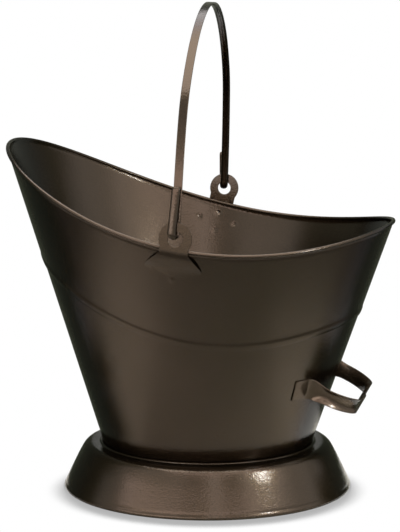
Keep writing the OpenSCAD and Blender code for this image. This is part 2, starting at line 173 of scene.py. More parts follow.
def makePaint(name, look):
    # bronze paint: the sum of soft clouds and tiny flakes mixes its colour, the flakes also set its roughness
    # and a fine orange-peel grain bumps it
    paint = bpy.data.materials.new(name)
    paint.use_nodes = True
    nodes, links = paint.node_tree.nodes, paint.node_tree.links
    shader = nodes["Principled BSDF"]
    shader.inputs["Metallic"].default_value = look["metallic"]
    shader.inputs["Specular Tint"].default_value = look["edge"]
    shader.inputs["Coat Weight"].default_value = look["coat"]
    shader.inputs["Coat Roughness"].default_value = look["coatRoughness"]
    where = nodes.new("ShaderNodeTexCoord")

    def noise(size, detail):
        n = nodes.new("ShaderNodeTexNoise")
        n.inputs["Scale"].default_value = 1.0 / size
        n.inputs["Detail"].default_value = detail
        links.new(where.outputs["Object"], n.inputs["Vector"])
        return n.outputs["Fac"]

    def spread(value, limits):
        m = nodes.new("ShaderNodeMapRange")
        m.inputs["From Min"].default_value, m.inputs["From Max"].default_value = look["noiseSpan"]
        m.inputs["To Min"].default_value, m.inputs["To Max"].default_value = limits
        links.new(value, m.inputs["Value"])
        return m.outputs["Result"]

    clouds = noise(look["cloudSize"], 2.0)
    flakes = noise(look["flakeSize"], 1.0)
    grain = noise(look["grainSize"], 1.0)
    tone = nodes.new("ShaderNodeMix")
    tone.data_type = "RGBA"
    tone.inputs["A"].default_value = look["deep"]
    tone.inputs["B"].default_value = look["light"]
    both = nodes.new("ShaderNodeMath")
    both.operation = "ADD"
    links.new(spread(clouds, look["cloudShare"]), both.inputs[0])
    links.new(spread(flakes, look["flakeShare"]), both.inputs[1])
    links.new(both.outputs[0], tone.inputs["Factor"])
    links.new(tone.outputs["Result"], shader.inputs["Base Color"])
    links.new(spread(flakes, look["roughness"]), shader.inputs["Roughness"])
    bump = nodes.new("ShaderNodeBump")
    bump.inputs["Distance"].default_value = look["grainDepth"]
    bump.inputs["Strength"].default_value = 1.0
    links.new(grain, bump.inputs["Height"])
    links.new(bump.outputs["Normal"], shader.inputs["Normal"])
    links.new(bump.outputs["Normal"], shader.inputs["Coat Normal"])
    return paint


# The ears are smoother; the handle is duller and a little lighter than the bronze, which is painted light
# that brightens the handle; and the wires are plain steel
earLook = dict(paintLook, grainDepth=0.00006)
litHandleLook = dict(earLook, deep=(0.052, 0.036, 0.023, 1), light=(0.062, 0.045, 0.031, 1), metallic=0.75,
                  edge=(0.08, 0.08, 0.06, 1), coat=0.2)
wireLook = dict(paintLook, deep=(0.30, 0.30, 0.30, 1), light=(0.42, 0.42, 0.42, 1), metallic=1.0,
                edge=(0.8, 0.8, 0.8, 1))
bronzePaint = makePaint("bronzePaint", paintLook)
earPaint = makePaint("earPaint", earLook)
litHandlePaint = makePaint("litHandlePaint", litHandleLook)
drawnWire = makePaint("drawnWire", wireLook)
print("paints made")


# The hopper's two sheets
wall = {
    "neckRadius": 0.10875,      # where the two sheets meet, at the shelf's height
    "shelfHeight": 0.0476,
    "slope": 0.330922,          # radius per height
    "lean": 0.02,               # how far the centre goes to the rear per height
    "sheet": 0.0008,
    "fitGap": 0.00002,
    "bottom": 0.0366,           # lower edge of the lower sheet
    "lowerSteps": (360, 30),    # round the wall and up it
}
wallAngle = atan(wall["slope"])
sheetAcross = wall["sheet"] / cos(wallAngle)


def wallRadius(z):
    return wall["neckRadius"] + wall["slope"] * (z - wall["shelfHeight"])


def wallCentre(z):
    return wall["lean"] * (z - wall["shelfHeight"])


def aroundWall(section, angles):
    # like aroundAxis, but the wall's centre drifts to the rear with height
    return aroundAxis(section, angles, wallCentre(section[..., 1]))


# Heights of the rolled rim, and how much its line is pointed at the lip and flattened between
mouth = {"lip": 0.358, "rear": 0.2805, "side": 0.271, "point": 0.0015, "flat": 0.0008}
# Heights of the upper sheet's lower edge, how far the sheets overlap, and the half bead along that edge
lap = {"lip": 0.2445, "rear": 0.1855, "side": 0.173, "over": 0.014, "bulge": 0.0007, "band": 0.009}


def rimHeight(a):
    # mean height plus one, two, three and four waves round the mouth
    m = (mouth["lip"] + mouth["rear"]) / 4
    once = (mouth["rear"] - mouth["lip"]) / 2 + mouth["point"]
    return (m + mouth["side"] / 2 - mouth["flat"] + once * np.cos(a) + (m - mouth["side"] / 2) * np.cos(2 * a)
            - mouth["point"] * np.cos(3 * a) + mouth["flat"] * np.cos(4 * a))


def lapHeight(a):
    # mean height plus one and two waves round the wall
    m = (lap["lip"] + lap["rear"]) / 4
    return (m + lap["side"] / 2 + (lap["rear"] - lap["lip"]) / 2 * np.cos(a)
            + (m - lap["side"] / 2) * np.cos(2 * a))


# Each ear's angle round the wall, rise of its hole above the rim, lean to the rear and tip outward
ears = {
    "nearEar": {"node": "ear_near", "at": radians(-89.9), "rise": 0.0113, "lean": radians(-8.0), "tip": 0.0},
    "farEar": {"node": "ear_far", "at": radians(98.1), "rise": 0.0167, "lean": radians(12.0),
               "tip": radians(1.8)},
}
weld = {
    "spots": ((0, -0.011), (0.020, -0.0195), (-0.020, -0.0195), (0, -0.030)),   # across and up from the rim
    "radius": 0.0016,
    "depth": 0.00095,
    "first": 1.5,               # the top one is this much deeper
    "markRadius": 0.0019,       # the same welds on the outside of the ear
    "markDepth": 0.00025,
}


def weldDents(angles, z):
    # sum of small round bells, one at each spot weld, in each ear's own leaning frame
    dents = np.zeros(np.broadcast(angles, z).shape)
    for ear in ears.values():
        y = wallRadius(z) * np.sin((angles - ear["at"] + pi) % (2 * pi) - pi)
        y = np.where(np.cos(angles - ear["at"]) > 0, y, 1.0)
        dz = z - rimHeight(ear["at"])
        u = y * cos(ear["lean"]) + dz * sin(ear["lean"])
        v = dz * cos(ear["lean"]) - y * sin(ear["lean"])
        for k, (su, sv) in enumerate(weld["spots"]):
            d2 = (u - su) ** 2 + (v - sv) ** 2
            depth = weld["depth"] * (weld["first"] if k == 0 else 1.0)
            dents += depth * np.exp(-d2 / (2 * weld["radius"] ** 2))
    return dents


# The rolled rim, and the upper sheet's grid
roll = {
    "wire": 0.0011,
    "gap": 0.00006,
    "foldTurn": 28,             # degrees past level where the sheet meets the roll
    "foldStart": 0.0065,        # how far below the roll's middle the sheet starts to bend
    "foldReach": (0.0024, 0.0018),  # how far the bend holds its direction at either end
    "end": -72,                 # where the sheet's edge ends, in degrees
    "steps": (9, 28),           # in the fold and round the roll
}
upperGrid = {
    "around": 300,              # round the wall
    "earReach": 0.16,           # finer round the ears, in radians
    "earStep": 0.0045,
    "band": 14,                 # up the half bead, then up the wall
    "wall": 12,
    "top": (0.038, 36),         # finer below the rim, for the weld dents
}
rollMiddle = roll["wire"] + roll["gap"] + wall["sheet"] / 2


def upperSheet():
    # middle line from the lower edge's half bead up the wall, then inward and over round the rim wire; its
    # height follows the mouth and the lap seam
    g = upperGrid
    base = np.linspace(0, 2 * pi, g["around"], endpoint=False)
    extra = [np.arange(-g["earReach"], g["earReach"], g["earStep"]) + ear["at"] for ear in ears.values()]
    angles = np.unique(np.round(np.concatenate([base] + extra) % (2 * pi), 5))
    a = angles[:, None]
    low, top = lapHeight(a), rimHeight(a)
    e = np.linspace(0, lap["band"], g["band"])[None, :]
    # the half bead rises in a smooth step over the band's upper half and rounds off toward its lower edge
    down = 1 - e / lap["band"]
    bulge = lap["bulge"] * np.where(down < 0.5, smoothStep(down / 0.5), 1 - 2.0 * (down - 0.5) ** 2)
    middle = wall["fitGap"] + sheetAcross / 2
    bandZ = low + e
    band = np.stack([wallRadius(bandZ) + middle + bulge, bandZ], -1)
    foldZ = top - roll["foldStart"] * cos(wallAngle)
    step = np.linspace(0, 1, g["wall"])[None, 1:-1]
    topBand, topSteps = g["top"]
    lowerZ = bandZ[:, -1:] + (foldZ - topBand - bandZ[:, -1:]) * step
    upperZ = foldZ - topBand + topBand * np.linspace(0, 1, topSteps)[None, :-1]
    wallZ = np.concatenate([lowerZ, upperZ], axis=1)
    wallLine = np.stack([wallRadius(wallZ) + middle + weldDents(a, wallZ), wallZ], -1)
    # the fold and the roll, in a frame that leans with the wall: x outward, y up the slope
    turn = radians(180 + roll["foldTurn"])
    tangentPoint = rollMiddle * np.array([cos(turn), sin(turn)])
    leave = np.array([sin(turn), -cos(turn)])
    start = np.array([0, -roll["foldStart"]])
    first, last = roll["foldReach"]
    foldSteps, rollSteps = roll["steps"]
    fold = bezier(start, start + [0, first], tangentPoint - last * leave, tangentPoint,
                  np.linspace(0, 1, foldSteps))
    arc = np.linspace(turn, radians(roll["end"]), rollSteps)[1:]
    bead = np.vstack([fold, rollMiddle * np.stack([np.cos(arc), np.sin(arc)], -1)])
    out = np.array([cos(wallAngle), -sin(wallAngle)])
    up = np.array([sin(wallAngle), cos(wallAngle)])
    centre = np.stack([wallRadius(top) + middle, top], -1)
    rim = centre + bead[None, :, :1] * out + bead[None, :, 1:] * up
    path = np.concatenate([band, wallLine, rim], axis=1)
    return aroundWall(thicken(path, wall["sheet"]), angles)


def lowerSheet():
    # straight middle line from inside the foot ring's collar to above the lap seam
    around, upward = wall["lowerSteps"]
    angles = np.linspace(0, 2 * pi, around, endpoint=False)
    top = lapHeight(angles[:, None]) + lap["over"]
    z = wall["bottom"] + (top - wall["bottom"]) * np.linspace(0, 1, upward)[None, :]
    path = np.stack([wallRadius(z) - wall["fitGap"] - sheetAcross / 2, z], -1)
    return aroundWall(thicken(path, wall["sheet"]), angles)


addSurface("upperHopper", upperSheet(), True, "scuttle", "hopper_upper", bronzePaint)
addSurface("lowerHopper", lowerSheet(), True, "scuttle", "hopper_lower", bronzePaint)


# The foot ring
ring = {
    "footRadius": 0.150,
    "footOver": 0.0008,         # how far the skirt's line, drawn on to the floor, passes the rolled foot
    "skirtSlope": 0.478,
    "shoulder": 0.011,
    "sheet": 0.001,
    "collar": 0.010,
    "neckGap": 0.00032,
    # the small bead where the shelf meets the hopper, out from the neck and up from the shelf's middle line
    "bead": ((-0.0018, -0.0051), (-0.0001, -0.0004), (0.0003, 0.0008), (0.0012, 0.0014), (0.0021, 0.0009),
             (0.0030, 0.0001), (0.0044, 0.0)),
    "wire": 0.00115,
    "wireGap": 0.00014,
    "curlEnd": -230,
    "easeTurn": radians(6),     # the shoulder's last degrees go into a softer bend of this length
    "easeLength": 0.007,
    "easeTail": 1.3,            # that bend's lower part, as a share of its upper one
    "easePull": 0.6,            # how far it holds its direction at either end, as a share
    "groove": 0.0002,           # depth of the groove above the rolled foot
    "grooveAt": 0.90,           # its place and its width, as shares of the way down the skirt
    "grooveWidth": 0.05,
    "around": 360,
    "steps": {"bead": 5, "shelf": 5, "shoulder": 16, "ease": 12, "skirt": 32, "curl": 32},
}


def footRing():
    # middle line up the collar, over the seam's small bead, along the shelf, round the shoulder, down the
    # skirt and inward round the foot wire, turned about the axis
    t, steps = ring["sheet"], ring["steps"]
    skirtAngle = atan(ring["skirtSlope"])
    shelf = wall["shelfHeight"] - t / 2
    neck = wallRadius(wall["shelfHeight"]) + ring["neckGap"] + t / 2 / cos(wallAngle)
    foot = ring["wire"] + ring["wireGap"] + t / 2
    footZ = foot + t / 2

    def skirtRadius(z):
        return ring["footRadius"] + ring["footOver"] - ring["skirtSlope"] * z - t / 2 / cos(skirtAngle)

    footR = skirtRadius(footZ) - foot / cos(skirtAngle)
    collar = [[neck - wall["slope"] * ring["collar"], shelf + t / 2 - ring["collar"]]]
    collar += [[neck + out, shelf + up] for out, up in ring["bead"]]
    inner = throughPoints(collar, steps["bead"])
    r, ease, reach = ring["shoulder"], ring["easeTurn"], ring["easeLength"]
    # the shoulder stops a few degrees early and stands inward, so that a soft bend can follow it
    setIn = (reach * sin(ease) - r * (1 - cos(ease))) / cos(skirtAngle)
    centre = np.array([skirtRadius(shelf) - r * np.tan((pi / 2 - skirtAngle) / 2) - setIn, shelf - r])
    flat = np.linspace(inner[-1], centre + [0, r], steps["shelf"])[1:-1]
    turn = np.linspace(pi / 2, skirtAngle + ease, steps["shoulder"])
    shoulder = centre + r * np.stack([np.cos(turn), np.sin(turn)], -1)
    downSkirt = np.array([sin(skirtAngle), -cos(skirtAngle)])
    knee = shoulder[-1] + reach * np.array([sin(turn[-1]), -cos(turn[-1])])
    bendEnd = knee + reach * ring["easeTail"] * downSkirt
    pull = ring["easePull"]
    easeFrom = shoulder[-1]
    soft = bezier(easeFrom, easeFrom + (knee - easeFrom) * pull, bendEnd + (knee - bendEnd) * pull, bendEnd,
                  np.linspace(0, 1, steps["ease"]))[1:]
    curl = np.radians(np.linspace(degrees(skirtAngle), ring["curlEnd"], steps["curl"]))
    roundFoot = np.array([footR, footZ]) + foot * np.stack([np.cos(curl), np.sin(curl)], -1)
    # a shallow groove sets off the rolled foot
    run = np.linspace(0, 1, steps["skirt"])[1:-1, None]
    groove = ring["groove"] * np.exp(-((run - ring["grooveAt"]) / ring["grooveWidth"]) ** 2)
    skirt = bendEnd + (roundFoot[0] - bendEnd) * run - groove * np.array([cos(skirtAngle), sin(skirtAngle)])
    path = np.vstack([inner, flat, shoulder, soft, skirt, roundFoot])
    angles = np.linspace(0, 2 * pi, ring["around"], endpoint=False)
    section = thicken(path[None], t)
    return aroundAxis(np.repeat(section, len(angles), axis=0), angles)


addSurface("footRing", footRing(), True, "scuttle", "base_ring", bronzePaint)


# The ear plate, with heights from the rim line
plate = {
    "thickness": 0.0015,
    "headRadius": 0.016,
    "holeRadius": 0.0071,
    "neckHalf": 0.01375,
    "neckFoot": -0.0035,
    "rimGap": 0.0004,
    "wallGap": 0.00026,
    "edge": 0.00035,            # rounding of the plate's edges
    "corner": 0.0009,           # rounding of the outline
    "foot": ((0.0265, -0.016), (0.028, -0.019), (0.0265, -0.022), (0.003, -0.04225), (0.0, -0.043)),
    "bendTop": 0.0,             # between these heights the plate goes from upright to the wall's slope
    "bendFoot": -0.023,
    "tipAbout": 0.006,          # height about which the far head is tipped
    "melt": 0.018,              # how far in from its edge the foot is thinned
    "meltFrom": (0.013, 0.010),     # that thinning starts this far down and grows over this length
    "toeFrom": (0.008, 0.022),      # and so does the thinning of the toe as a whole, up to this share
    "toeShare": 0.85,
    "edgeShare": 0.97,          # the most that any point is thinned
    "sink": 0.0005,             # how deep the thinned edge goes into the wall
    "headPoints": 60,
    "outlinePoints": 400,
    "edgePoints": 9,
    "facePoints": 44,
}
headOut = (wall["fitGap"] + sheetAcross / 2 + rollMiddle + wall["sheet"] / 2 + plate["rimGap"]
           + plate["thickness"] / 2)


def holePoint(ear):
    # middle of an ear's hole: off the wall at the rim's height, raised and carried round by the ear's lean
    z = rimHeight(ear["at"])
    r = wallRadius(z) + headOut
    y = -ear["rise"] * sin(ear["lean"])
    a = ear["at"]
    return np.array([wallCentre(z) + r * cos(a) - y * sin(a), r * sin(a) + y * cos(a),
                     z + ear["rise"] * cos(ear["lean"])]) + axisAt


nearHole, farHole = holePoint(ears["nearEar"]), holePoint(ears["farEar"])
hinge = unit(farHole - nearHole)
hingeYaw = atan2(hinge[1], hinge[0])
hingeHalf = np.linalg.norm(farHole - nearHole) / 2


def earPlate(ear, yaw):
    # the flat outline and the hole joined by straight lines; each point then lies on the head's upright
    # plane, on the wall, or on a smooth blend of the two
    rise, lean, at = ear["rise"], ear["lean"], ear["at"]
    join = asin(plate["neckHalf"] / plate["headRadius"])
    head = np.linspace(-pi / 2 + join, 1.5 * pi - join, plate["headPoints"])
    arc = np.stack([np.cos(head), np.sin(head)], -1) * plate["headRadius"] + [0, rise]
    foot = np.array(plate["foot"])
    left = foot[:-1] * [-1, 1]
    neck = np.array([plate["neckHalf"], plate["neckFoot"]])
    corners = np.vstack([arc, neck * [-1, 1], left, foot[::-1], neck])
    outer = softOutline(corners, plate["outlinePoints"], plate["corner"])
    spoke = unit(outer - [0, rise])
    hole = spoke * plate["holeRadius"] + [0, rise]
    span = np.linalg.norm(outer - hole, axis=-1)[:, None]
    h, e = plate["thickness"] / 2, plate["edge"]
    bend = np.linspace(pi / 2, -pi / 2, plate["edgePoints"])
    inset = e * (1 - np.cos(bend))
    height = (h - e) * np.sign(np.sin(bend)) + e * np.sin(bend)
    face = np.linspace(0, 1, plate["facePoints"])[None, 1:-1]
    run = np.concatenate([inset[None] / span, face + 0 * span, 1 - inset[None, ::-1] / span,
                          face[:, ::-1] + 0 * span], axis=1)
    w = np.concatenate([height, np.full(face.shape[1], -h), height[::-1], np.full(face.shape[1], h)])
    flat = outer[:, None] + (hole - outer)[:, None] * run[..., None]
    u, v = flat[..., 0], flat[..., 1]
    w = w[None] + 0 * u
    # the toe thins out toward its edge and melts into the wall
    inFrom = run * span
    meltTop, meltOver = plate["meltFrom"]
    toeTop, toeOver = plate["toeFrom"]
    thin = (1 - smoothStep(inFrom / plate["melt"])) * smoothStep((-v - meltTop) / meltOver)
    thin = 1 - (1 - thin) * (1 - plate["toeShare"] * smoothStep((-v - toeTop) / toeOver))
    w = (w + h) * (1 - plate["edgeShare"] * thin) - h - plate["sink"] * thin
    # shallow weld marks on the outside
    for su, sv in weld["spots"]:
        d2 = (u - su) ** 2 + (v - sv) ** 2
        w = w - weld["markDepth"] * np.exp(-d2 / (2 * weld["markRadius"] ** 2)) * (w > 0)
    # on the head
    outward = np.array([cos(yaw), sin(yaw), 0])
    aside = np.array([-sin(yaw), cos(yaw), 0])
    y = u * cos(lean) - (v - rise) * sin(lean)
    z = u * sin(lean) + (v - rise) * cos(lean)
    tip = ear["tip"]
    upright = np.array([0, 0, cos(tip)]) + outward * sin(tip)
    onHead = (holePoint(ear) + y[..., None] * aside + z[..., None] * upright
              + (w[..., None] + (rise - plate["tipAbout"]) * sin(tip)) * outward)
    # on the wall
    y = u * cos(lean) - v * sin(lean)
    z = rimHeight(at) + u * sin(lean) + v * cos(lean)
    r = wallRadius(z) + wall["fitGap"] + sheetAcross + plate["wallGap"] + h + w
    a = at + np.arcsin(y / r)
    onWall = np.stack([wallCentre(z) + r * np.cos(a), r * np.sin(a), z], -1) + axisAt
    share = smoothStep((plate["bendTop"] - v) / (plate["bendTop"] - plate["bendFoot"]))[..., None]
    return onHead * (1 - share) + onWall * share


for name, ear in ears.items():
    facing = hingeYaw + (pi if name == "nearEar" else 0.0)
    addSurface(name, earPlate(ear, facing), True, "scuttle", ear["node"], earPaint)


# The bail, in its own plane with the hinge line as its base
bail = {
    "width": 0.0086,
    "thickness": 0.0034,
    "edge": 0.0005,             # rounding of the half-round section's edges
    "height": 0.21246,          # top of the crown's middle line above the hinge line
    "crown": 0.195,             # radii of the crown, the shoulder bends and the bowed legs
    "bend": 0.090,
    "leg": 0.400,
    "earGap": 0.0013,           # between the ear and the strip on either side of it
    "hookLift": 0.0045,         # middle of the hook's bend above the hinge line
    "nearTip": 0.049,           # heights of the hooks' ends
    "farTip": 0.040,
    "nearBendSet": 0.0034,      # how far each hook is set toward the lip, at its bend and at its end
    "farBendSet": 0.0015,
    "nearSet": 0.0008,
    "farSet": 0.0031,
    "nearClose": 0.0028,        # how far the near hook's end closes in on the leg
    "lean": radians(2.5),       # toward the rear at rest
    "blunt": (0.82, 0.95),      # size of the last two rings at each end
    "sectionPoints": 40,
    "crownPoints": 110,
    "legPoints": 40,
    "bendPoints": 20,
    "hookPoints": 26,
    "nearTipPoints": 30,
}


def arcLine(centre, radius, start, stop, count, shift=(0.0, 0.0)):
    # centre plus radius times (cos, sin): points and directions along an arc, and how far each is set toward
    # the lip
    a = np.linspace(start, stop, count)
    points = np.asarray(centre) + radius * np.stack([np.cos(a), np.sin(a)], -1)
    along = np.stack([-np.sin(a), np.cos(a)], -1) * (1 if stop > start else -1)
    return np.column_stack([points, along, np.linspace(*shift, count)])


def bailStrip():
    # a half-round section carried along one line of arcs that run on smoothly: up the hook, round the bend
    # through the ear, bowed leg, shoulder bend, crown and down again
    b = bail
    hookR = (plate["thickness"] + 2 * b["earGap"] + b["thickness"]) / 2
    legX = hingeHalf - hookR
    legC = np.array([legX - b["leg"], 0.0])
    crownC = np.array([0.0, b["height"] - b["crown"]])
    gap = crownC - legC
    reach = np.linalg.norm(gap)
    # the bend touches both the leg's arc and the crown's from inside, which gives its middle
    legD, crownD = b["leg"] - b["bend"], b["crown"] - b["bend"]
    along = (legD ** 2 - crownD ** 2 + reach ** 2) / (2 * reach)
    aside = np.array([-gap[1], gap[0]]) / reach
    bendC = legC + gap / reach * along + aside * sqrt(legD ** 2 - along ** 2)
    legTo = atan2(*(bendC - legC)[::-1])
    crownFrom = atan2(*(bendC - crownC)[::-1])
    legFrom = asin(b["hookLift"] / b["leg"])
    flip = np.array([-1, 1])

    def tip(side, height, bendSet, tipSet, close, count):
        # a straight end from the hook's bend up to its height
        run = np.linspace(0, 1, count)
        y = b["hookLift"] + (height - b["hookLift"]) * run
        slope = close / (height - b["hookLift"])
        x = side * (legX + 2 * hookR - close * run)
        shift = bendSet + (tipSet - bendSet) * run
        return np.column_stack([x, y, np.full(count, -side * slope), np.full(count, 1.0), shift])

    nearHook = tip(-1, b["nearTip"], b["nearBendSet"], b["nearSet"], b["nearClose"], b["nearTipPoints"])
    hooks, legs, bends = b["hookPoints"], b["legPoints"], b["bendPoints"]
    lines = [
        (nearHook[::-1] * [1, 1, -1, -1, 1])[:-1],
        arcLine([-legX - hookR, b["hookLift"]], hookR, pi, 2 * pi, hooks, (b["nearBendSet"], 0)),
        arcLine(legC * flip, b["leg"], pi - legFrom, pi - legTo, legs)[1:],
        arcLine(bendC * flip, b["bend"], pi - legTo, pi - crownFrom, bends)[1:],
        arcLine(crownC, b["crown"], pi - crownFrom, crownFrom, b["crownPoints"])[1:],
        arcLine(bendC, b["bend"], crownFrom, legTo, bends)[1:],
        arcLine(legC, b["leg"], legTo, legFrom, legs)[1:],
        arcLine([legX + hookR, b["hookLift"]], hookR, -pi, 0, hooks, (0, b["farBendSet"]))[1:],
        tip(1, b["farTip"], b["farBendSet"], b["farSet"], 0.0, hooks)[1:],
    ]
    line = np.vstack(lines)
    half = np.linspace(pi / 2, 1.5 * pi, b["sectionPoints"])
    w, t = b["width"], b["thickness"]
    corners = np.stack([t / 2 + t * np.cos(half), w / 2 * np.sin(half)], -1)
    section = softOutline(corners, b["sectionPoints"], b["edge"])
    # blunt ends: the last rings draw in
    scale = np.ones(len(line))
    scale[:2], scale[-2:] = b["blunt"], b["blunt"][::-1]
    side = np.stack([-line[:, 3], line[:, 2]], -1)
    across = section[None] * scale[:, None, None]
    x = line[:, None, 0] + side[:, None, 0] * across[..., 0]
    y = line[:, None, 1] + side[:, None, 1] * across[..., 0]
    z = across[..., 1] - line[:, None, 4]
    # the strip's own plane stands on the hinge line and leans to the rear
    right = hinge
    rear = unit(np.array([hinge[1], -hinge[0], 0.0]))
    upright = np.cross(rear, right)
    upward = upright * cos(b["lean"]) + rear * sin(b["lean"])
    back = rear * cos(b["lean"]) - upright * sin(b["lean"])
    middle = (nearHole + farHole) / 2
    return middle + x[..., None] * right + y[..., None] * upward + z[..., None] * back


addSurface("bailStrip", bailStrip(), False, "bail", "bail", bronzePaint)


# The rear handle
strap = {
    "thickness": 0.0012,
    "footHalf": 0.01025,        # half the strap's width on the wall and at the grip
    "gripHalf": 0.0075,
    "trough": 0.0034,           # depth it is pressed to
    "form": (0.001, 0.016),     # how far off the wall the pressing starts, and over what way it comes in
    "height": 0.1198,
    "out": 0.0282,              # the grip's place: off the wall, down from the feet, half its length
    "drop": 0.0204,
    "half": 0.047,
    "wallGap": 0.0001,
    "leaveAt": radians(30.2),   # where the arms leave the wall and the feet end, round from the rear
    "footAt": radians(39.5),
    "leaveEase": radians(2.2),  # the bend off the wall starts this much earlier
    "leaveShare": 0.1,          # and ends at this share of the arm
    "armStart": radians(-4),
    "armEnd": radians(55),
    "armPull": 0.36,            # how far the arm holds its direction at either end, as a share of its length
    "corner": 0.007,
    "footPoints": 14,
    "armPoints": 40,
    "cornerPoints": 24,
    "acrossPoints": 33,
}


def strapHandle():
    # a strap's section carried along one line: flat on the wall, bent off it into two bowed arms and an end
    # bar; the section goes from flat to a parabola's trough as it leaves the wall
    s = strap
    zc = s["height"]
    cx = wallCentre(zc)
    r = wallRadius(zc) + s["wallGap"] + s["thickness"] / 2 / cos(wallAngle)

    def onWall(a):
        a = np.asarray(a)
        return np.stack([cx + r * np.cos(a), -r * np.sin(a), zc + 0 * a], -1)

    leave = onWall(s["leaveAt"])
    corner = np.array([cx + wallRadius(zc) + s["out"], -s["half"], zc - s["drop"]])
    fall = s["drop"] / (corner[0] - leave[0])

    def heading(a):
        return np.array([cos(a), sin(a), -fall * cos(a)])

    stop = corner - s["corner"] * heading(s["armEnd"])
    pull = s["armPull"] * np.linalg.norm(corner - leave)
    arm = bezier(leave, leave + pull * heading(s["armStart"]), stop - pull * heading(s["armEnd"]), stop,
                 np.linspace(s["leaveShare"], 1, s["armPoints"]))

    def roundOff(a, tip, b, count):
        # a curve from a to b that rounds off the corner at tip
        return bezier(a, a + (tip - a) * 2 / 3, b + (tip - b) * 2 / 3, b, np.linspace(0, 1, count))

    footEnd = s["leaveAt"] + s["leaveEase"]
    foot = onWall(np.linspace(s["footAt"], footEnd, s["footPoints"]))
    blend = roundOff(onWall(footEnd), leave, arm[0], s["footPoints"])
    past = corner + np.array([0, s["corner"], 0])
    turn = roundOff(stop, corner, past, s["cornerPoints"])
    middle = np.array([corner[0], 0, corner[2]])
    half = np.vstack([foot[:-1], blend[:-1], arm[:-1], turn[:-1], np.linspace(past, middle, s["footPoints"])])
    line = np.vstack([half, half[-2::-1] * [1, -1, 1]])
    along = unit(np.gradient(line, axis=0))
    away = np.clip(np.hypot(line[:, 0] - cx, line[:, 1]) - r, 0, None)
    onFoot = unit(np.column_stack([(line[:, 0] - cx) * wall["slope"] / r + wall["lean"],
                                   line[:, 1] * wall["slope"] / r, np.ones(len(line))]))
    tilt = atan(fall)
    formFrom, formOver = s["form"]
    share = smoothStep(away / formOver)[:, None]
    up = unit(onFoot * (1 - share) + np.array([sin(tilt), 0, cos(tilt)]) * share)
    up = unit(up - (up * along).sum(1, keepdims=True) * along)
    side = np.cross(up, along)
    form = smoothStep((away - formFrom) / formOver)[:, None]
    halfHeight = s["footHalf"] * (1 - form) + s["gripHalf"] * form
    q = np.linspace(-1, 1, s["acrossPoints"])[None, :]
    shape = np.stack([s["trough"] * form * (0.5 - q ** 2), halfHeight * q], -1)
    section = thicken(shape, s["thickness"])
    points = line[:, None] + section[..., :1] * side[:, None] + section[..., 1:] * up[:, None]
    return points + axisAt


addSurface("tipHandle", strapHandle(), False, "scuttle", "rear_handle", litHandlePaint)


# The nodes that stay as they are
for node, finish in (("bottom_plate", bronzePaint), ("rim_wire", drawnWire), ("foot_wire", drawnWire)):
    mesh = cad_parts[node].data
    mesh.materials.clear()
    mesh.materials.append(finish)
print("carried-over nodes painted")


